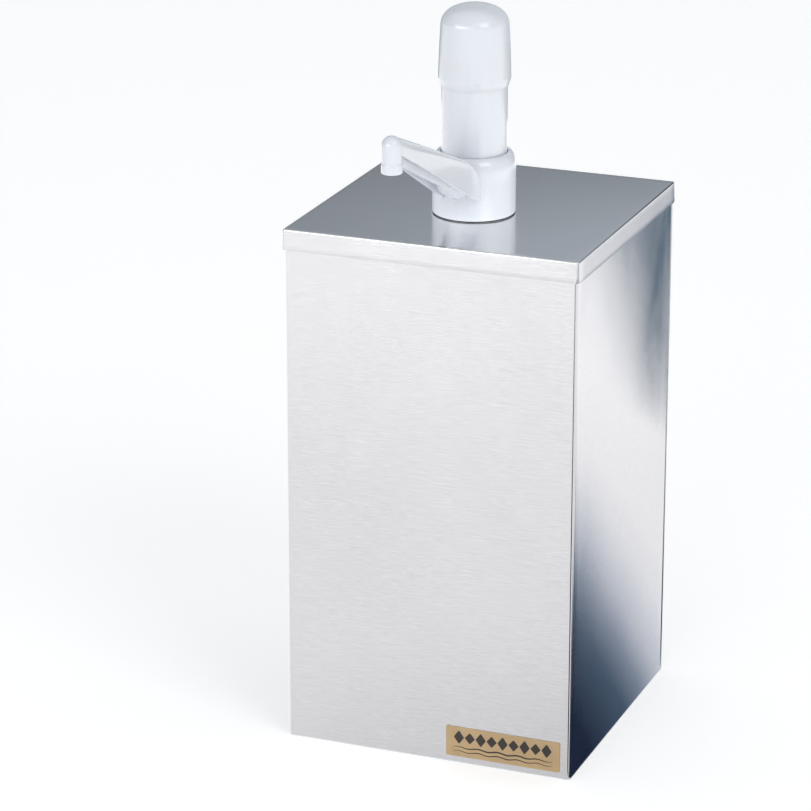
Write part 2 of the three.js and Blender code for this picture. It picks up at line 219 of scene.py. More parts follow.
def brushed_steel():
    """Fine lines along U, under a faint cloudiness and smears, with the gloss spread across the lines."""
    tint = (0.745, 0.75, 0.76)
    rough = 0.15
    p = Paint("brushed_stainless").set(Metallic=1.0, Anisotropic=1.0, Anisotropic_Rotation=0.25)
    fine = p.noise(p.place("UV", (170, 2400, 1)), 3.0, 0.7)
    long = p.noise(p.place("UV", (55, 1500, 1)), 3.0, 0.6)
    cloud = p.noise(p.place("Object", (9, 9, 6)), 3.0, 0.5)
    smear = p.noise(p.place("Object", (26, 26, 17), (0.4, 0.2, 0.7)), 2.0, 0.5, 0.6)
    grain = p.combine("ADD", p.combine("MULTIPLY", fine, 0.6), p.combine("MULTIPLY", long, 0.4))
    darkest = tuple(0.89 * c for c in tint)
    lightest = tuple(1.08 * c for c in tint)
    tone = p.ramp(grain, [(0.3, darkest), (0.7, lightest)])
    dull = p.ramp(cloud, [(0.3, 0.975), (0.7, 1.0)])
    p.wire(Base_Color=p.multiply_colours(tone, dull))
    hazy = p.span(smear, rough - 0.012, rough + 0.015, 0.35, 0.65)
    p.wire(Roughness=p.combine("ADD", hazy, p.span(grain, -0.02, 0.02, 0.3, 0.7)))
    p.wire(Normal=p.bump(grain, 0.10, 0.00003))
    tangent = p.node("ShaderNodeTangent", direction_type="UV_MAP", uv_map="sheet")
    p.link(tangent.outputs["Tangent"], p.shader.inputs["Tangent"])
    return p.material


def moulded_white():
    """Glossy white plastic with a slight glow under its surface."""
    tint = (0.80, 0.825, 0.88)
    p = Paint("white_plastic").set(Subsurface_Weight=0.22, Subsurface_Radius=(0.004, 0.0042, 0.005))
    p.set(Subsurface_Scale=0.6, Coat_Weight=0.6, Coat_Roughness=0.07, IOR=1.5)
    cloud = p.noise(p.place("Object", (38, 38, 24)), 3.0, 0.5)
    speck = p.noise(p.place("Object", (1300, 1300, 1300)), 2.0, 0.5)
    p.wire(Base_Color=p.ramp(cloud, [(0.2, tuple(0.985 * c for c in tint)), (0.8, tint)]))
    p.wire(Roughness=p.span(speck, 0.22, 0.28, 0.3, 0.7))
    p.wire(Normal=p.bump(speck, 0.05, 0.00003))
    return p.material


def natural_plastic():
    """Uncoloured, milky plastic, drawn along Z."""
    p = Paint("natural_plastic").set(Subsurface_Weight=0.4, Subsurface_Radius=(0.004, 0.004, 0.0035))
    p.set(Subsurface_Scale=0.8, IOR=1.51)
    cloud = p.noise(p.place("Object", (55, 55, 16)), 3.0, 0.55)
    drawn = p.noise(p.place("Object", (900, 900, 8)), 2.0, 0.6)
    p.wire(Base_Color=p.ramp(cloud, [(0.3, (0.70, 0.71, 0.67)), (0.7, (0.80, 0.81, 0.78))]))
    p.wire(Roughness=p.span(cloud, 0.36, 0.5, 0.3, 0.7))
    p.wire(Normal=p.bump(drawn, 0.12, 0.00005))
    return p.material


def black_rubber():
    """Dull black rubber with a trace of dust."""
    p = Paint("black_rubber").set(IOR=1.48)
    grain = p.noise(p.place("Object", (1400, 1400, 1400)), 3.0, 0.6)
    dust = p.noise(p.place("Object", (90, 90, 90)), 3.0, 0.6)
    p.wire(Base_Color=p.ramp(dust, [(0.35, (0.018, 0.018, 0.02)), (0.75, (0.045, 0.045, 0.048))]))
    p.wire(Roughness=p.span(grain, 0.55, 0.8, 0.3, 0.7))
    p.wire(Normal=p.bump(grain, 0.3, 0.00005))
    return p.material


def bright_steel():
    """Polished wire and balls."""
    p = Paint("bright_steel").set(Metallic=1.0)
    drawn = p.noise(p.place("Object", (500, 500, 500), (0.3, 0.5, 0.1)), 3.0, 0.6)
    cloud = p.noise(p.place("Object", (80, 80, 80)), 2.0, 0.5)
    p.wire(Base_Color=p.ramp(cloud, [(0.3, (0.60, 0.605, 0.62)), (0.7, (0.72, 0.725, 0.74))]))
    p.wire(Roughness=p.span(drawn, 0.12, 0.24, 0.3, 0.7))
    p.wire(Normal=p.bump(drawn, 0.08, 0.00004))
    return p.material


def printed(name, light, dark, rough):
    """A layer of paint or ink under a thin varnish."""
    p = Paint(name).set(IOR=1.5, Coat_Weight=0.25, Coat_Roughness=0.2)
    cloud = p.noise(p.place("Object", (60, 60, 60)), 4.0, 0.6)
    fibre = p.noise(p.place("Object", (300, 300, 2600)), 2.0, 0.5)
    p.wire(Base_Color=p.ramp(cloud, [(0.3, dark), (0.7, light)]))
    p.wire(Roughness=p.span(fibre, rough - 0.06, rough + 0.08, 0.3, 0.7))
    p.wire(Normal=p.bump(fibre, 0.12, 0.00004))
    return p.material


STEEL = brushed_steel()
WHITE = moulded_white()
NATURAL = natural_plastic()
RUBBER = black_rubber()
BRIGHT = bright_steel()
TAN = printed("label_tan", (0.53, 0.365, 0.185), (0.45, 0.30, 0.15), 0.38)
INK = printed("label_ink", (0.03, 0.021, 0.016), (0.02, 0.015, 0.012), 0.42)

# ---------------------------------------------------------------- mesh helpers


def body_of_node(node):
    """The body that the record puts a CAD node on."""
    for body, members in frame["record"]["behaviour"]["bodies"].items():
        if node in members:
            return body
    raise ValueError(node)


def show(name, verts, faces, material, node, smooth=35, uvs=None, bevel=0.0, stands_for=True):
    """Makes a piece on the body of a CAD node. It replaces the node, unless stands_for is off."""
    mesh = bpy.data.meshes.new(name)
    mesh.from_pydata([tuple(v) for v in verts], [], [tuple(f) for f in faces])
    if uvs is not None:
        layer = mesh.uv_layers.new(name="sheet")
        for loop in mesh.loops:
            layer.data[loop.index].uv = uvs[loop.vertex_index]
    made = bmesh.new()
    made.from_mesh(mesh)
    bmesh.ops.recalc_face_normals(made, faces=made.faces)
    made.to_mesh(mesh)
    made.free()
    mesh.materials.append(material)
    piece = bpy.data.objects.new(name, mesh)
    bpy.context.scene.collection.objects.link(piece)
    if bevel:
        edge = piece.modifiers.new("edges", "BEVEL")
        edge.width = bevel
        edge.segments = 2
        edge.limit_method = "ANGLE"
        edge.angle_limit = math.radians(40)
    shade(piece, smooth)
    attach(piece, body_of_node(node))
    if stands_for:
        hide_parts(node)
    return piece


def shade(piece, degrees):
    """Smooth shading, with edges left sharp where the faces meet at more than this angle."""
    for polygon in piece.data.polygons:
        polygon.use_smooth = True
    piece.data.set_sharp_from_angle(angle=math.radians(degrees))


def rounded(points, radius, steps=4, closed=True):
    """An outline in a plane, with an arc of at most radius at each corner that isn't nearly straight."""
    made = []
    count = len(points)
    for i, point in enumerate(points):
        here = Vector(point)
        if not closed and i in (0, count - 1):
            made.append(here)
            continue
        before = Vector(points[i - 1]) - here
        after = Vector(points[(i + 1) % count]) - here
        angle = before.angle(after, math.pi)
        if angle > math.radians(176):
            made.append(here)
            continue
        reach = min(radius / math.tan(angle / 2), 0.45 * before.length, 0.45 * after.length)
        start = here + before.normalized() * reach
        end = here + after.normalized() * reach
        inwards = (before.normalized() + after.normalized()).normalized()
        centre = here + inwards * (reach / math.cos(angle / 2))
        for k in range(steps + 1):
            t = k / steps
            towards = (start - centre).lerp(end - centre, t)
            made.append(centre + towards.normalized() * (start - centre).length)
    return made


def grid_faces(rows, columns, close_rows=False, close_columns=False):
    """Quads between rows of columns vertices, numbered row by row."""
    faces = []
    for i in range(rows if close_rows else rows - 1):
        for j in range(columns if close_columns else columns - 1):
            a, b = i * columns + j, i * columns + (j + 1) % columns
            c = ((i + 1) % rows) * columns
            faces.append((a, b, c + (j + 1) % columns, c + j))
    return faces


def turned(name, profile, material, node, centre=None, fillet=0.3 * MM, segments=96, steps=3, axis=None):
    """A body of revolution. The profile's (radius, height) points go round a section or from axis to axis."""
    centre = centre or Vector((PUMP.x, PUMP.y, 0))
    solid = max(profile[0][0], profile[-1][0]) < 1e-9
    section = rounded(profile, fillet, steps, closed=not solid)
    turn = axis or Matrix.Identity(3)
    verts = []
    for k in range(segments):
        a = 2 * math.pi * k / segments
        for point in section:
            r = max(point.x, 0.0)
            verts.append(centre + turn @ Vector((r * math.cos(a), r * math.sin(a), point.y)))
    faces = grid_faces(segments, len(section), close_rows=True, close_columns=not solid)
    piece = show(name, verts, faces, material, node)
    weld(piece)
    return piece


def weld(piece):
    """Joins the points that fall together on an axis of revolution."""
    distance = 1e-7
    made = bmesh.new()
    made.from_mesh(piece.data)
    bmesh.ops.remove_doubles(made, verts=made.verts, dist=distance)
    bmesh.ops.dissolve_degenerate(made, edges=made.edges, dist=distance)
    bmesh.ops.recalc_face_normals(made, faces=made.faces)
    made.to_mesh(piece.data)
    made.free()
    shade(piece, 35)


def quarter(r0, z0, r1, z1, steps):
    """Points of a quarter ellipse from (r0, z0) to (r1, z1), upright where it starts."""
    angles = [math.pi / 2 * k / steps for k in range(steps + 1)]
    return [(r1 + (r0 - r1) * math.cos(a), z0 + (z1 - z0) * math.sin(a)) for a in angles]


def above(millimetres):
    """A height above the lid's top face, given in millimetres."""
    return TOP_Z + millimetres * MM


# ---------------------------------------------------------------- sheet metal


# A sheet's face is set back by DENT. That fades out over these distances from its bends and its cut ends.
DENT = 0.08 * MM
OFF_BEND = 12 * MM
OFF_END = 15 * MM


def ripple(u, v):
    """The small unevenness of a sheet, in metres."""
    depth = 0.06 * MM
    slow = math.sin(31 * u + 2.1) * math.sin(19 * v + 0.4)
    quick = 0.4 * math.sin(67 * u - 0.8 + 9 * v) * math.sin(43 * v + 1.9)
    return depth * (slow + quick)


def thicken(piece):
    """Gives a sheet its thickness, inwards from the modelled outer face, and soft cut edges."""
    solid = piece.modifiers.new("sheet", "SOLIDIFY")
    solid.thickness = SHEET
    solid.offset = -1.0
    solid.use_even_offset = True
    edge = piece.modifiers.new("edges", "BEVEL")
    edge.width = 0.12 * MM
    edge.segments = 2
    edge.limit_method = "ANGLE"
    edge.angle_limit = math.radians(50)


def face_out(piece, inside):
    """Turns an open sheet's faces so that they look away from a point inside."""
    made = bmesh.new()
    made.from_mesh(piece.data)
    votes = sum(1 if f.normal.dot(f.calc_center_median() - inside) > 0 else -1 for f in made.faces)
    if votes < 0:
        bmesh.ops.reverse_faces(made, faces=made.faces)
    made.to_mesh(piece.data)
    made.free()


def make_wrap():
    """Front and sides in one bent sheet, with a return flange at the rear on each side."""
    lo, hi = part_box("body_wrap")
    flange = 14 * MM
    bend = 2.4 * MM
    spacing = 8 * MM
    corners = [(lo.x + flange, hi.y), (lo.x, hi.y), (lo.x, lo.y)]
    corners += [(hi.x, lo.y), (hi.x, hi.y), (hi.x - flange, hi.y)]
    path = rounded(corners, bend, 8, closed=False)
    fine = []
    for a, b in zip(path, path[1:]):
        parts = max(1, round((b - a).length / spacing))
        fine += [a.lerp(b, k / parts) for k in range(parts)]
    fine.append(path[-1])
    run = [0.0]
    for a, b in zip(fine, fine[1:]):
        run.append(run[-1] + (b - a).length)
    rows = 40
    verts, uvs = [], []
    for i in range(rows + 1):
        z = lo.z + (hi.z - lo.z) * i / rows
        for point, u in zip(fine, run):
            off_side = min(abs(point.x - lo.x), abs(hi.x - point.x))
            off_front = min(abs(point.y - lo.y), abs(hi.y - point.y))
            off_bend = max(off_side, off_front)
            off_end = min(z - lo.z, hi.z - z)
            ease = min(1.0, off_bend / OFF_BEND, off_end / OFF_END)
            inward = Vector((0, 0, 0))
            if off_front < 1e-6 and point.y < 0:
                inward.y = DENT + ripple(point.x, z)
            elif off_side < 1e-6:
                inward.x = math.copysign(DENT + ripple(point.y, z), -point.x)
            verts.append(Vector((point.x, point.y, z)) + inward * max(ease, 0.0))
            uvs.append((u, z))
    piece = show("box_wrap", verts, grid_faces(rows + 1, len(fine)), STEEL, "body_wrap", 40, uvs)
    face_out(piece, Vector((0, 0, (lo.z + hi.z) / 2)))
    thicken(piece)


def make_back():
    """The rear panel, flat but for the sheet's small unevenness."""
    lo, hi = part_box("back_panel")
    columns, rows = 30, 46
    verts, uvs = [], []
    for i in range(rows + 1):
        z = lo.z + (hi.z - lo.z) * i / rows
        for j in range(columns + 1):
            x = lo.x + (hi.x - lo.x) * j / columns
            edge = min(x - lo.x, hi.x - x, z - lo.z, hi.z - z)
            ease = min(1.0, max(0.0, edge / OFF_END))
            verts.append((x, hi.y - (DENT + ripple(x, z)) * ease, z))
            uvs.append((x + 1.0, z))
    piece = show("rear_panel", verts, grid_faces(rows + 1, columns + 1), STEEL, "back_panel", 40, uvs)
    face_out(piece, Vector((0, 0, (lo.z + hi.z) / 2)))
    thicken(piece)


CORNER_STEPS = 8
SIDE_STEPS = 24


def rim(lo, hi, radius, inset, per_corner=CORNER_STEPS, per_side=SIDE_STEPS):
    """A rounded rectangle's outline, inset from the box corners lo and hi, as points in the plane."""
    r = max(radius - inset, 0.05 * MM)
    x0, x1, y0, y1 = lo.x + inset, hi.x - inset, lo.y + inset, hi.y - inset
    centres = [(x1 - r, y1 - r, 0), (x0 + r, y1 - r, 90), (x0 + r, y0 + r, 180), (x1 - r, y0 + r, 270)]
    points = []
    for cx, cy, start in centres:
        turns = [math.radians(start + 90 * k / per_corner) for k in range(per_corner + 1)]
        arc = [Vector((cx + r * math.cos(a), cy + r * math.sin(a))) for a in turns]
        if points:
            last = points[-1]
            points += [last.lerp(arc[0], k / per_side) for k in range(1, per_side)]
        points += arc
    last, first = points[-1], points[0]
    points += [last.lerp(first, k / per_side) for k in range(1, per_side)]
    return points


def make_lid():
    """The lid: a flat top with a round hole, a small edge bend, and a skirt with open corner seams."""
    lo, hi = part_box("lid")
    bend = 1.2 * MM
    corner = 2.2 * MM
    hole = 24.4 * MM
    sag = 0.05 * MM
    draft = 0.4 * MM
    centre = Vector((PUMP.x, PUMP.y))
    rings = []
    edge = rim(lo, hi, corner, draft + bend)
    inner = [centre + (p - centre).normalized() * hole for p in edge]
    steps = 18
    for k in range(steps):
        share = k / steps
        ring = []
        for a, b in zip(inner, edge):
            p = a.lerp(b, share)
            dent = (sag + ripple(p.x, p.y)) * min(1.0, 4 * share, 5 * (1 - share))
            ring.append(Vector((p.x, p.y, hi.z - dent)))
        rings.append(ring)
    folds = 6
    for k in range(folds + 1):
        a = math.pi / 2 * k / folds
        outline = rim(lo, hi, corner, draft + bend * (1 - math.sin(a)))
        rings.append([Vector((p.x, p.y, hi.z - bend * (1 - math.cos(a)))) for p in outline])
    drops = 4
    for k in range(1, drops + 1):
        z = hi.z - bend + (lo.z - hi.z + bend) * k / drops
        rings.append([Vector((p.x, p.y, z)) for p in rim(lo, hi, corner, draft * (1 - k / drops))])
    verts = [p for ring in rings for p in ring]
    uvs = []
    for p in verts:
        drop = hi.z - p.z
        side = abs(p.x) > abs(p.y) * (hi.x / hi.y)
        along_x = math.copysign(drop, p.x) if side else 0
        along_y = 0 if side else math.copysign(drop, p.y)
        uvs.append((p.x + along_x, p.y + along_y))
    seams = [k * (CORNER_STEPS + SIDE_STEPS) + CORNER_STEPS // 2 for k in range(4)]
    first_drop = steps + folds
    faces = []
    for number, face in enumerate(grid_faces(len(rings), len(edge), close_columns=True)):
        ring, column = divmod(number, len(edge))
        if ring < first_drop or column not in seams:
            faces.append(face)
    piece = show("lid_tray", verts, faces, STEEL, "lid", 40, uvs)
    face_out(piece, Vector((0, 0, lo.z - 0.02)))
    thicken(piece)


def make_floor_pan():
    """The floor, with its rounded edge and upright flange. The box rests on its underside."""
    lo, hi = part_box("base_pan")
    bend = 1.0 * MM
    corner = 2.2 * MM
    steps = (6, 16)
    rings = []
    edge = rim(lo, hi, corner, bend, *steps)
    middle_rings = 8
    for k in range(middle_rings):
        share = 0.02 + 0.98 * k / middle_rings
        rings.append([Vector((p.x * share, p.y * share, lo.z)) for p in edge])
    folds = 4
    for k in range(folds + 1):
        a = math.pi / 2 * k / folds
        outline = rim(lo, hi, corner, bend * (1 - math.sin(a)), *steps)
        rings.append([Vector((p.x, p.y, lo.z + bend * (1 - math.cos(a)))) for p in outline])
    for z in (lo.z + 5 * MM, hi.z):
        rings.append([Vector((p.x, p.y, z)) for p in rim(lo, hi, corner, 0.0, *steps)])
    verts = [p for ring in rings for p in ring]
    faces = grid_faces(len(rings), len(edge), close_columns=True)
    faces.append(tuple(range(len(edge))))
    uvs = [(p.x, p.y + p.z) for p in verts]
    piece = show("floor_pan", verts, faces, STEEL, "base_pan", 40, uvs)
    face_out(piece, Vector((0, 0, 0.05)))
    thicken(piece)


make_wrap()
make_back()
make_lid()
make_floor_pan()

# ---------------------------------------------------------------- label


def prism_xz(name, outline, y_front, y_back, material, fillet=0.0, bevel=0.0):
    """A flat piece of the label facing -Y, from an outline in X and Z."""
    points = rounded(outline, fillet, 6) if fillet else [Vector(p) for p in outline]
    count = len(points)
    verts = [(p.x, y_front, p.y) for p in points] + [(p.x, y_back, p.y) for p in points]
    faces = [tuple(range(count)), tuple(range(2 * count - 1, count - 1, -1))]
    faces += [(i, (i + 1) % count, count + (i + 1) % count, count + i) for i in range(count)]
    return show(name, verts, faces, material, "label_plate", 35, bevel=bevel, stands_for=False)


def make_label():
    """The small tan plate, with a plain printed ornament: a row of lozenges over two waves."""
    lo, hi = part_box("label_plate")
    back, face = hi.y, lo.y + 0.1 * MM
    sheet = [(lo.x, lo.z), (hi.x, lo.z), (hi.x, hi.z), (lo.x, hi.z)]
    plate = prism_xz("label_base", sheet, face, back, TAN, 1.0 * MM, 0.08 * MM)
    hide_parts("label_plate")
    raised = lo.y + 0.02 * MM
    buried = face + 0.05 * MM
    middle_z = (lo.z + hi.z) / 2
    count = 9
    margin = 5 * MM
    pitch = (hi.x - lo.x - 2 * margin) / count
    for k in range(count):
        x = lo.x + margin + (k + 0.5) * pitch
        z = middle_z + 3.2 * MM
        wide, tall = 0.47 * pitch, (3.9 if k % 2 else 4.7) * MM
        lozenge = [(x, z - tall), (x + wide, z), (x, z + tall), (x - wide, z)]
        prism_xz(f"label_lozenge_{k + 1}", lozenge, raised, buried, INK, 0.6 * MM)
    steps = 40
    for number, (drop, width) in enumerate(((-3.6 * MM, 1.0 * MM), (-6.4 * MM, 0.7 * MM))):
        top, bottom = [], []
        for k in range(steps + 1):
            t = k / steps
            x = lo.x + margin + (hi.x - lo.x - 2 * margin) * t
            z = middle_z + drop + 0.5 * MM * math.sin(2 * math.pi * 5 * t)
            half = width / 2 * math.sqrt(math.sin(math.pi * min(max(t, 0.01), 0.99)))
            top.append((x, z + half))
            bottom.append((x, z - half))
        prism_xz(f"label_wave_{number + 1}", bottom + top[::-1], raised, buried, INK)


make_label()

# ---------------------------------------------------------------- pump: knob, plunger and collar


def make_knob():
    """The domed cap: a tapered side over a chamfered foot, hollow above the plunger's end."""
    lo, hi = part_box("knob")
    wide = radius_of("knob")
    side = wide - 1.35 * MM
    bore = radius_of("plunger_tube") + 0.15 * MM
    hollow = side - 3.2 * MM
    shoulder = hi.z - 12.5 * MM
    widest = lo.z + 4.9 * MM
    socket = lo.z + 20.3 * MM
    profile = quarter(hollow, shoulder - 2 * MM, 0, hi.z - 3.2 * MM, 6)[::-1]
    profile += [(hollow, socket), (bore, socket), (bore, lo.z + 0.6 * MM), (bore + 0.5 * MM, lo.z)]
    profile += [(wide - 1.5 * MM, lo.z), (wide - 0.15 * MM, lo.z + 4.1 * MM), (wide, widest)]
    taper_steps = 8
    for k in range(1, taper_steps):
        t = k / taper_steps
        profile.append((wide + (side - wide) * (0.55 * t + 0.45 * t * t), widest + (shoulder - widest) * t))
    dome_steps = 16
    for k in range(dome_steps + 1):
        a = math.pi / 2 * k / dome_steps
        profile.append((side * math.cos(a) ** 0.86, shoulder + (hi.z - shoulder) * math.sin(a)))
    turned("knob_cap", profile, WHITE, "knob", fillet=0.35 * MM, segments=120, steps=2)


def make_plunger():
    """The white tube that slides in the collar, and the plug in its lower end."""
    lo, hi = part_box("plunger_tube")
    outer = radius_of("plunger_tube")
    inner = outer - 2.6 * MM
    profile = [(inner, lo.z), (outer, lo.z), (outer, hi.z), (inner, hi.z)]
    turned("plunger_barrel", profile, WHITE, "plunger_tube", fillet=0.4 * MM, segments=112)
    lo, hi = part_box("plunger_plug")
    flange = radius_of("plunger_plug")
    spigot = flange - 2.7 * MM
    wall = spigot - 2.5 * MM
    step = lo.z + 2 * MM
    groove = lo.z + 0.8 * MM
    profile = [(0, lo.z), (3 * MM, lo.z), (3.4 * MM, groove), (9 * MM, groove), (9.4 * MM, lo.z)]
    profile += [(flange, lo.z), (flange, step), (spigot, step), (spigot, hi.z), (wall, hi.z)]
    profile += [(wall, step + 1 * MM), (0, step + 1 * MM)]
    turned("plunger_end_plug", profile, NATURAL, "plunger_plug", fillet=0.3 * MM)


def make_collar():
    """The discharge head: collar, shoulder and mouth above the lid, and a threaded shank through it."""
    z0, z1 = above(0.8), high("discharge_head").z
    outer = radius_of("discharge_head")
    mouth = 20.6 * MM
    chamber = 22.2 * MM
    shank = 24.0 * MM
    foot = low("discharge_head").z
    profile = [(chamber, foot), (shank - 0.8 * MM, foot), (shank - 0.5 * MM, foot + 0.9 * MM)]
    pitch = 2.2 * MM
    threads = 8
    per_thread = 8
    first = foot + 1.6 * MM
    for k in range(threads * per_thread + 1):
        crest = 0.5 - 0.5 * math.cos(2 * math.pi * k / per_thread)
        profile.append((shank - (0.7 - 0.6 * crest ** 0.7) * MM, first + k * pitch / per_thread))
    profile += [(shank - 0.1 * MM, above(-2)), (shank, above(-1.2)), (shank, z0)]
    profile += [(outer - 0.35 * MM, z0), (outer, z0 + 0.6 * MM)]
    profile += quarter(outer, above(29), mouth + 0.9 * MM, z1, 16)
    profile += [(mouth, z1), (mouth, above(36)), (chamber, above(36))]
    turned("collar_head", profile, WHITE, "discharge_head", fillet=0.12 * MM, segments=120, steps=1)


make_knob()
make_plunger()
make_collar()

# ---------------------------------------------------------------- pump: spout

REACH = PUMP.y - middle("nozzle").y
ARM_ROOT = 22.3 * MM
ARM_END = 133.5 * MM
ARM_NECK = 118 * MM
ARM_WALL = 1.6 * MM
ARM_HALF = radius_of("spout_arm")
PASSAGE_ROOT = 27.5 * MM

# The arm narrows by ARM_TAPER of its length, and past ARM_NECK also by ARM_PINCH times the distance squared.
# Heights of its top and its foot above the lid at ARM_ROOT, and their rise up to ARM_END, in millimetres.
ARM_TAPER = 0.047
ARM_PINCH = 3.89
ARM_TOP, ARM_TOP_RISE = 37, 44.3
ARM_FOOT, ARM_FOOT_RISE = 13, 56.6

# The saddle is where the arm's top drops to the collar. It begins SADDLE in front of the pump's axis.
# It is a quadratic Bezier curve: three heights, and two distances back from SADDLE, in millimetres.
SADDLE = 48 * MM
SADDLE_OUTER = 47.24
SADDLE_KNEE = 38.3
SADDLE_INNER = 25.5
SADDLE_LEAD = 22.5
SADDLE_RUN = 25.7


def saddle(u):
    """The saddle's height above the lid in millimetres, at a distance u in front of the pump's axis."""
    back = (SADDLE - u) / MM
    bend = 2 * SADDLE_LEAD - SADDLE_RUN
    t = (SADDLE_LEAD - math.sqrt(max(SADDLE_LEAD ** 2 - bend * back, 0.0))) / bend
    t = min(max(t, 0.0), 1.0)
    return (1 - t) ** 2 * SADDLE_OUTER + 2 * t * (1 - t) * SADDLE_KNEE + t * t * SADDLE_INNER


def arm_section(u):
    """Half width, top and underside of the channel at a distance u in front of the pump's axis."""
    share = (u - ARM_ROOT) / (ARM_END - ARM_ROOT)
    past = max(u - ARM_NECK, 0.0)
    half = ARM_HALF - ARM_TAPER * (u - ARM_ROOT) - ARM_PINCH * past * past
    top = above(saddle(u) if u < SADDLE else ARM_TOP + ARM_TOP_RISE * share)
    return half, top, above(ARM_FOOT + ARM_FOOT_RISE * share)


def arch(half, top, bottom, corner, crown):
    """Points of an arch from its lower left to its lower right, as (x, z)."""
    arc, flat = 7, 6
    spring = top - crown - corner
    rising = [math.pi / 2 * k / arc for k in range(arc + 1)]
    right = [(half - corner * (1 - math.sin(a)), spring + corner * math.cos(a)) for a in rising]
    left = [(-x, z) for x, z in right[::-1]]
    roof = [((half - corner) * (2 * k / flat - 1), spring + corner) for k in range(1, flat)]
    points = [(-half, bottom)] + left + roof + right + [(half, bottom)]
    bulge = [crown * (1 - (x / half) ** 2) * min(1.0, max(z - spring, 0.0) / corner) for x, z in points]
    return [(x, z + b) for (x, z), b in zip(points, bulge)]


def channel_loop(u):
    """The channel's section at a distance u: its outer arch, then its inner arch back again."""
    half, top, bottom = arm_section(u)
    share = min(1.0, max(0.0, (u - ARM_ROOT) / (REACH - ARM_ROOT)))
    root_corner, tip_corner = 2.2 * MM, half - 0.15 * MM
    corner = root_corner + (tip_corner - root_corner) * share ** 2.5
    crown = 1.0 * (1 - share) * MM
    outer = arch(half, top, bottom, corner, crown)
    inner = arch(half - ARM_WALL, top - ARM_WALL, bottom, max(corner - ARM_WALL, 0.5 * MM), crown)
    return outer + inner[::-1]


def make_arm():
    """The spout arm: a lofted inverted channel from the collar's wall to the nozzle."""
    collar = radius_of("discharge_head") - 1.1 * MM
    steps = 44
    verts = []
    for i in range(steps + 1):
        share = (i / steps) ** 1.35
        across = channel_loop(ARM_ROOT + (REACH - ARM_ROOT) * share)
        for k, (x, _) in enumerate(across):
            root = math.sqrt(collar ** 2 - x ** 2)
            u = root + (REACH - root) * share
            verts.append(Vector((PUMP.x + x, PUMP.y - u, channel_loop(u)[k][1])))
    columns = len(channel_loop(ARM_ROOT))
    faces = grid_faces(steps + 1, columns, close_columns=True)
    faces.append(tuple(range(columns)))
    faces.append(tuple(range(steps * columns, (steps + 1) * columns))[::-1])
    show("spout_channel", verts, faces, WHITE, "spout_arm", 35, bevel=0.25 * MM)


def spout_axis():
    """Direction of the inclined passage, and the rotation that turns Z to it."""
    joint = next(j for j in frame["joints"] if j["name"] == "outlet_ball_lift")
    direction = Vector(joint["axis"]).normalized()
    return direction, direction.to_track_quat("Z", "X").to_matrix()


def make_spout_tube():
    """The round passage under the arm's roof, with the valve chest at its root."""
    direction, turn = spout_axis()
    root = Vector((PUMP.x, PUMP.y - PASSAGE_ROOT, above(22.5)))
    chest, bore, tube, hole = 7.7 * MM, 5.5 * MM, 4.4 * MM, 3.2 * MM
    length = (REACH - PASSAGE_ROOT) / abs(direction.y) - 3.2 * MM
    profile = [(bore, 0), (chest, 0), (chest, 17 * MM), (tube, 22 * MM), (tube, length), (hole, length)]
    profile += [(hole, 14 * MM), (bore, 14 * MM)]
    turned("spout_inner_tube", profile, WHITE, "spout_tube", root, 0.5 * MM, 64, axis=turn)
    seat_r, seat_bore = 5.2 * MM, 3 * MM
    seat_z0, seat_z1 = 0.5 * MM, 3.5 * MM
    seat = [(seat_bore, seat_z0), (seat_r, seat_z0), (seat_r, seat_z1)]
    seat += [(seat_bore + 0.6 * MM, seat_z1), (seat_bore, seat_z1 - 0.5 * MM)]
    turned("outlet_seat_ring", seat, NATURAL, "outlet_valve_seat", root, segments=48, axis=turn)


def make_nozzle():
    """The downturned spout end: a domed neck that the arm's tip wraps, and a lip around the mouth."""
    lo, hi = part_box("nozzle")
    lip = radius_of("nozzle")
    neck = lip - 0.35 * MM
    bore = 4.2 * MM
    roof = hi.z - neck
    profile = [(0, roof - 2 * MM), (bore * 0.6, roof - 2.2 * MM), (bore, roof - 3.4 * MM), (bore, lo.z)]
    profile += [(lip - 0.25 * MM, lo.z), (lip, lo.z + 0.5 * MM), (lip, lo.z + 5.2 * MM)]
    profile += [(neck, lo.z + 6 * MM)]
    profile += quarter(neck, roof, 0, hi.z, 14)
    centre = Vector((middle("nozzle").x, middle("nozzle").y, 0))
    turned("nozzle_tip", profile, WHITE, "nozzle", centre, segments=64)


def ball(name, node):
    """A check ball of bright steel."""
    made = bmesh.new()
    bmesh.ops.create_icosphere(made, subdivisions=4, radius=radius_of(node))
    bmesh.ops.translate(made, verts=made.verts, vec=middle(node))
    mesh = bpy.data.meshes.new(name)
    made.to_mesh(mesh)
    made.free()
    verts = [v.co.copy() for v in mesh.vertices]
    faces = [tuple(f.vertices) for f in mesh.polygons]
    bpy.data.meshes.remove(mesh)
    show(name, verts, faces, BRIGHT, node)


make_arm()
make_spout_tube()
make_nozzle()
ball("outlet_check_ball", "outlet_ball")
ball("inlet_check_ball", "inlet_ball")

# ---------------------------------------------------------------- pump: below the lid and inside


def plain_ring(name, node, inner, material, lip=0.0):
    """A ring of the node's height and outer radius, with a small lip groove in its top when lip is set."""
    lo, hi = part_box(node)
    outer = radius_of(node)
    profile = [(inner, lo.z), (outer, lo.z), (outer, hi.z)]
    if lip:
        third = (outer - inner) / 3
        profile += [(outer - third, hi.z), ((inner + outer) / 2, hi.z - lip), (inner + third, hi.z)]
    profile += [(inner, hi.z)]
    turned(name, profile, material, node, fillet=0.2 * MM)


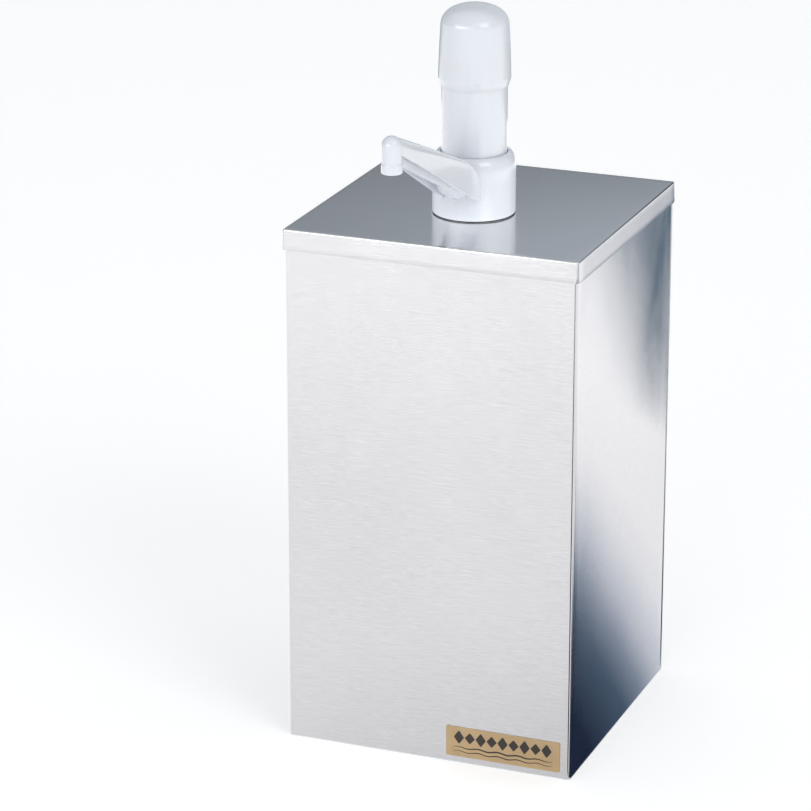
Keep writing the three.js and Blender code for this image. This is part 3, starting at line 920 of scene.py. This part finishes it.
def make_intake():
    """The barrel that screws onto the collar's shank and holds the inlet valve and the spring."""
    lo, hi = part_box("intake_body")
    outer = radius_of("intake_body")
    waist = outer - 0.7 * MM
    neck = 11 * MM
    socket = 24.3 * MM
    chamber = 22.2 * MM
    well = 7.6 * MM
    port = 4.6 * MM
    tube_socket = 8.3 * MM
    ledge, well_top, well_foot, port_foot = above(-25.6), above(-31.5), above(-50.5), above(-52.5)
    profile = [(socket, ledge), (socket, hi.z), (outer, hi.z), (outer, above(-16)), (waist, above(-16.6))]
    profile += [(waist, above(-17.4)), (outer, above(-18)), (outer, above(-31))]
    profile += [(outer - 2.5 * MM, above(-35)), (neck + 1 * MM, above(-50.5)), (neck, above(-52))]
    profile += [(neck, lo.z), (tube_socket, lo.z), (tube_socket, port_foot), (port, port_foot)]
    profile += [(port, well_foot), (well, well_foot), (well, well_top), (chamber, well_top), (chamber, ledge)]
    turned("intake_barrel", profile, WHITE, "intake_body", fillet=0.6 * MM)


def circle(count):
    """Angles of points around a circle."""
    return [2 * math.pi * k / count for k in range(count)]


def make_lock_nut():
    """The nut under the lid, with eight shallow lobes to grip it by."""
    lo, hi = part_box("lock_nut")
    lobe = 1.5 * MM
    mean = radius_of("lock_nut") - lobe
    bore = 24.3 * MM
    angles = circle(192)
    outside = ((0.9 * MM, lo.z), (0.0, lo.z + 0.9 * MM), (0.0, hi.z - 0.9 * MM), (0.9 * MM, hi.z))
    inside = ((0.5 * MM, hi.z), (0.0, hi.z - 0.5 * MM), (0.0, lo.z + 0.5 * MM), (0.5 * MM, lo.z))
    rings = [([mean + lobe * math.cos(8 * a) - inset for a in angles], z) for inset, z in outside]
    rings += [([bore + widening] * len(angles), z) for widening, z in inside]
    verts = []
    for radii, z in rings:
        for r, a in zip(radii, angles):
            verts.append(Vector((PUMP.x + r * math.cos(a), PUMP.y + r * math.sin(a), z)))
    faces = grid_faces(len(rings), len(angles), close_rows=True, close_columns=True)
    show("clamp_nut", verts, faces, WHITE, "lock_nut", 40)


def make_dip_tube():
    """The suction tube, cut at a slant at its foot so that it can't seal against the floor."""
    lo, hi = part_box("dip_tube")
    outer = radius_of("dip_tube")
    bore = 6 * MM
    angles = circle(64)
    slope = math.tan(0.6)
    rings = [(outer, lo.z), (outer, hi.z - 0.6 * MM), (outer - 0.4 * MM, hi.z)]
    rings += [(bore + 0.3 * MM, hi.z), (bore, hi.z - 0.4 * MM), (bore, lo.z)]
    verts = []
    for r, z in rings:
        for a in angles:
            x, y = r * math.cos(a), r * math.sin(a)
            lift = (outer - x) * slope if z == lo.z else 0.0
            verts.append(Vector((PUMP.x + x, PUMP.y + y, z + lift)))
    faces = grid_faces(len(rings), len(angles), close_rows=True, close_columns=True)
    show("suction_tube", verts, faces, NATURAL, "dip_tube", 40, bevel=0.15 * MM)


def make_ball_cage():
    """A hoop over the inlet ball, with a bar across that stops the ball's rise."""
    lo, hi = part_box("inlet_ball_cage")
    hoop = radius_of("inlet_ball_cage")
    inner = radius_of("inlet_ball") - 0.9 * MM
    plain_ring("ball_cage_hoop", "inlet_ball_cage", inner, NATURAL)
    reach = (hoop + inner) / 2
    half = 1 * MM
    ends = [(-reach, -half), (reach, -half), (reach, half), (-reach, half)]
    lift = 0.1 * MM
    verts = [(PUMP.x + x, PUMP.y + y, z) for z in (lo.z + lift, hi.z - lift) for x, y in ends]
    faces = [(3, 2, 1, 0), (4, 5, 6, 7)] + [(i, (i + 1) % 4, 4 + (i + 1) % 4, 4 + i) for i in range(4)]
    show("ball_cage_bar", verts, faces, NATURAL, "inlet_ball_cage", 35, bevel=0.25 * MM, stands_for=False)


def make_spring():
    """The return spring: a round wire in a helix with a closed turn at each end."""
    lo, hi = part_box("return_spring")
    wire = 0.9 * MM
    mean = (hi.x - lo.x) / 2 - wire
    turns, sides, per_turn = 9, 12, 40
    z0, z1 = lo.z + wire, hi.z - wire
    closed = 2 * wire + 0.2 * MM
    pitch = (z1 - z0 - 2 * closed) / (turns - 2)
    up = Vector((0, 0, 1))
    verts = []
    count = turns * per_turn
    for i in range(count + 1):
        turn = turns * i / count
        closed_turns = min(turn, 1) + max(turn - turns + 1, 0)
        open_turns = min(max(turn - 1, 0), turns - 2)
        z = z0 + closed * closed_turns + pitch * open_turns
        a = 2 * math.pi * turn
        out = Vector((math.cos(a), math.sin(a), 0))
        centre = Vector((PUMP.x, PUMP.y, z)) + out * mean
        verts += [centre + (out * math.cos(b) + up * math.sin(b)) * wire for b in circle(sides)]
    faces = grid_faces(count + 1, sides, close_columns=True)
    faces.append(tuple(range(sides)))
    faces.append(tuple(range(count * sides, (count + 1) * sides))[::-1])
    piece = show("coil_spring", verts, faces, BRIGHT, "return_spring", 60)
    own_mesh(piece)


plain_ring("foot_gasket", "collar_gasket", 24.6 * MM, RUBBER)
plain_ring("mouth_wiper", "wiper_seal", 20.3 * MM, RUBBER, 0.8 * MM)
plain_ring("plunger_packing", "plunger_seal", 20.3 * MM, RUBBER, 1.2 * MM)
plain_ring("packing_gland", "gland_ring", 20.6 * MM, NATURAL)
plain_ring("clamp_washer", "nut_washer", 24.5 * MM, NATURAL)
plain_ring("barrel_packing", "barrel_gasket", 22.3 * MM, RUBBER)
plain_ring("inlet_seat_ring", "foot_valve_seat", 4.2 * MM, NATURAL)
plain_ring("spring_cup", "spring_seat", 6 * MM, BRIGHT)
make_intake()
make_lock_nut()
make_dip_tube()
make_ball_cage()
make_spring()

# ---------------------------------------------------------------- stage
# The glowing shapes stand for the studio that the steel mirrors: they are painted reflections and a painted
# highlight, and one is painted bounce light from the lid.

SIDE_X = high("body_wrap").x
FRONT_Y = low("body_wrap").y
LOW_SHADE = ((0.5, -0.26), (0.5, 0.45), (0.26, 0.45), (SIDE_X, 0.165))
FAR_SHADE = ((0.235, 0.53), (0.404, 0.945), (0.5, 1.18), (0.56, 1.5), (0.3, 1.5), (0.1, 0.9))
DOME_GLINT = [(-1.86, -1.71, 0.72), (-0.72, -2.43, 0.72), (-0.72, -2.43, 1.28), (-1.86, -1.71, 1.28)]

# Brightness of the floor over the distance in metres, lowest near the box as painted shade, and of the board,
# a painted reflection, over its height and its width.
GLOW = ((0.0, 0.63), (0.12, 0.71), (0.24, 0.81), (0.6, 0.845), (0.95, 1.0))
RISE = ((0.024, 0.29), (0.187, 0.62), (0.382, 0.62), (0.48, 0.2), (1.0, 0.2))
ACROSS = ((0.421, 0.66), (0.684, 1.0), (0.726, 1.0), (0.753, 0.2), (0.8, 0.2), (0.832, 1.0))

# Colours of the painted dark reflection at the right, from its middle to beyond its edge.
SHADE = (
    (0.0, (0.012, 0.02, 0.05)),
    (0.3, (0.07, 0.11, 0.17)),
    (0.44, (0.24, 0.285, 0.37)),
    (0.58, (0.60, 0.63, 0.71)),
    (0.8, (0.94, 0.94, 0.98)),
    (1.0, (1.0, 0.99, 1.01)),
)

# Brightness of the sky, from the horizon to straight above.
SKY_STRENGTH = 1.2
SKY = ((0.0, 0.26), (0.34, 0.29), (0.57, 0.45), (0.77, 0.6), (1.0, 0.7))


def reflected(name, corners, colour, strength):
    """A flat glowing shape that only reflections show, as if something stood there. Returns its paint."""
    mesh = bpy.data.meshes.new(name)
    mesh.from_pydata(corners, [], [tuple(range(len(corners)))])
    piece = bpy.data.objects.new(name, mesh)
    bpy.context.scene.collection.objects.link(piece)
    p = Paint(name).set(Base_Color=(0, 0, 0, 1), Roughness=1.0, Specular_IOR_Level=0.0)
    p.set(Emission_Color=(*colour, 1), Emission_Strength=strength)
    mesh.materials.append(p.material)
    piece.visible_camera = False
    piece.visible_diffuse = False
    piece.visible_shadow = False
    piece.visible_transmission = False
    return p


def level(height, *corners):
    """Corners in plan, all at one height."""
    return [(x, y, height) for x, y in corners]


def floor_glow():
    """The pale floor that the steel mirrors, seen only in reflections. It brightens away from the near right
    corner of the box: near the box it is painted shade. It is also a little darker towards the front.
    """
    reach = 4
    corners = level(0.8 * MM, (-reach, -reach), (reach, -reach), (reach, reach), (-reach, reach))
    p = reflected("floor_glow", corners, (1.0, 0.99, 1.01), 1.0)
    away = p.node("ShaderNodeVectorMath", operation="DISTANCE")
    away.inputs[1].default_value = (SIDE_X, FRONT_Y, 0)
    p.link(p.place("Object", (1, 1, 0)), away.inputs[0])
    # Painted shade: the floor that the steel mirrors is darker near the box.
    spread = p.ramp(away.outputs["Value"], GLOW)
    lean = p.span(p.axes()["Y"], 1.16, 1.25, -0.1, 0.1)
    p.wire(Emission_Strength=p.combine("MULTIPLY", spread, lean))


def low_shade():
    """A painted dark reflection at the right, on a card that only reflections show. Its soft edge runs
    slantwise, and it fades out further to the right.
    """
    corners = level(1.2 * MM, (SIDE_X, FRONT_Y), *LOW_SHADE)
    p = reflected("low_shade", corners, (1, 1, 1), 1.0)
    across_edge = Vector((-0.864, 0.504, 0))
    edge_point = Vector((SIDE_X, 0.0465, 0))
    shift, half = 0.01, 0.06
    middle_of_edge = across_edge.dot(edge_point) + shift
    along = p.node("ShaderNodeVectorMath", operation="DOT_PRODUCT")
    along.inputs[1].default_value = across_edge
    p.link(p.place("Object", (1, 1, 1)), along.inputs[0])
    fade = p.span(along.outputs["Value"], 0.0, 1.0, middle_of_edge - half, middle_of_edge + half)
    beyond = p.span(p.axes()["X"], 0.0, 1.0, 0.3, 0.48)
    p.wire(Emission_Color=p.ramp(p.combine("MAXIMUM", fade, beyond), SHADE))


def rear_board():
    """A glowing board behind the box that the lid mirrors, as a painted reflection: dim at its foot, brighter
    above, with a dark strip.
    """
    x0, x1 = -0.6, 0.35
    y = 0.2
    z0, z1 = 0.335, 0.95
    corners = [(x0, y, TOP_Z), (x1, y, TOP_Z), (x1, y, z1), (x0, y, z1)]
    p = reflected("rear_board", corners, (0.87, 0.955, 1.06), 1.0)
    place = p.axes()
    rise = p.ramp(p.span(place["Z"], 0.0, 1.0, z0, z1), RISE)
    across = p.ramp(p.span(place["X"], 0.0, 1.0, x0, x1), ACROSS)
    p.wire(Emission_Strength=p.combine("MULTIPLY", rise, across))


def lid_bounce():
    """The light that the lid throws onto the pump, less under the arm. It lights matt surfaces only."""
    lo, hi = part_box("lid")
    half = 18 * MM
    start = PUMP.y - radius_of("discharge_head") - 9 * MM
    notch = [(-half, lo.y), (-half, start), (half, start), (half, lo.y)]
    corners = level(hi.z + 0.1 * MM, (lo.x, lo.y), *notch, (hi.x, lo.y), (hi.x, hi.y), (lo.x, hi.y))
    reflected("lid_bounce", corners, (0.97, 0.99, 1.0), 1.4)
    piece = bpy.data.objects["lid_bounce"]
    piece.visible_glossy = False
    piece.visible_diffuse = True


def make_reflections():
    """What the steel and the knob mirror, and the light from the lid."""
    floor_glow()
    low_shade()
    # Painted dark reflections in the steel: a line on the near bend, and a dark patch high on the far side.
    corner = level(1.2 * MM, (SIDE_X, FRONT_Y), (SIDE_X + 0.14, FRONT_Y - 1.0), (SIDE_X + 0.7, FRONT_Y - 0.9))
    reflected("corner_shade", corner, (0.4, 0.5, 0.8), 0.02)
    reflected("far_shade", level(1.2 * MM, *FAR_SHADE), (0.14, 0.9, 1.75), 0.075)
    rear_board()
    lid_bounce()
    reflected("dome_glint", DOME_GLINT, (1, 1, 1), 7.0)


def area_light(name, location, aim, size, power, colour):
    data = bpy.data.lights.new(name, "AREA")
    data.shape = "RECTANGLE"
    data.size, data.size_y = size
    data.energy = power
    data.color = colour
    lamp = bpy.data.objects.new(name, data)
    bpy.context.scene.collection.objects.link(lamp)
    lamp.location = location
    lamp.rotation_mode = "QUATERNION"
    lamp.rotation_quaternion = (Vector(aim) - Vector(location)).to_track_quat("-Z", "Y")


def make_sky():
    """A studio's soft light: a dim horizon and a bright ceiling."""
    world = bpy.data.worlds.new("studio")
    world.use_nodes = True
    tree = world.node_tree
    background = tree.nodes["Background"]
    coordinate = tree.nodes.new("ShaderNodeTexCoord")
    parts = tree.nodes.new("ShaderNodeSeparateXYZ")
    ramp = tree.nodes.new("ShaderNodeValToRGB")
    elements = ramp.color_ramp.elements
    while len(elements) < len(SKY):
        elements.new(0.5)
    for element, (position, grey) in zip(elements, SKY):
        element.position = position
        element.color = (grey * 0.955, grey * 0.985, grey, 1)
    tree.links.new(coordinate.outputs["Generated"], parts.inputs["Vector"])
    tree.links.new(parts.outputs["Z"], ramp.inputs["Fac"])
    tree.links.new(ramp.outputs["Color"], background.inputs["Color"])
    background.inputs["Strength"].default_value = SKY_STRENGTH
    bpy.context.scene.world = world


def make_stage():
    """The floor, the sky, what the steel mirrors, and two soft lights."""
    mesh = bpy.data.meshes.new("floor")
    half = 12.0
    corners = level(0, (-half, -half), (half, -half), (half, half), (-half, half))
    mesh.from_pydata(corners, [], [(0, 1, 2, 3)])
    floor = bpy.data.objects.new("floor", mesh)
    bpy.context.scene.collection.objects.link(floor)
    p = Paint("floor").set(Base_Color=(0.93, 0.93, 0.93, 1), Roughness=0.7, Specular_IOR_Level=0.2)
    p.set(Emission_Color=(1, 1, 1, 1), Emission_Strength=0.3)
    mesh.materials.append(p.material)
    make_sky()
    make_reflections()
    area_light("key", (2.0, -1.4, 2.0), (0, 0, 0.3), (1.4, 1.4), power=19, colour=(1.0, 0.99, 0.98))
    area_light("fill", (-0.2, -2.6, 0.9), (0, 0, 0.38), (1.6, 1.0), power=11, colour=(0.98, 0.99, 1.0))


make_stage()
bpy.context.scene.view_settings.view_transform = "Standard"

bpy.context.view_layer.update()
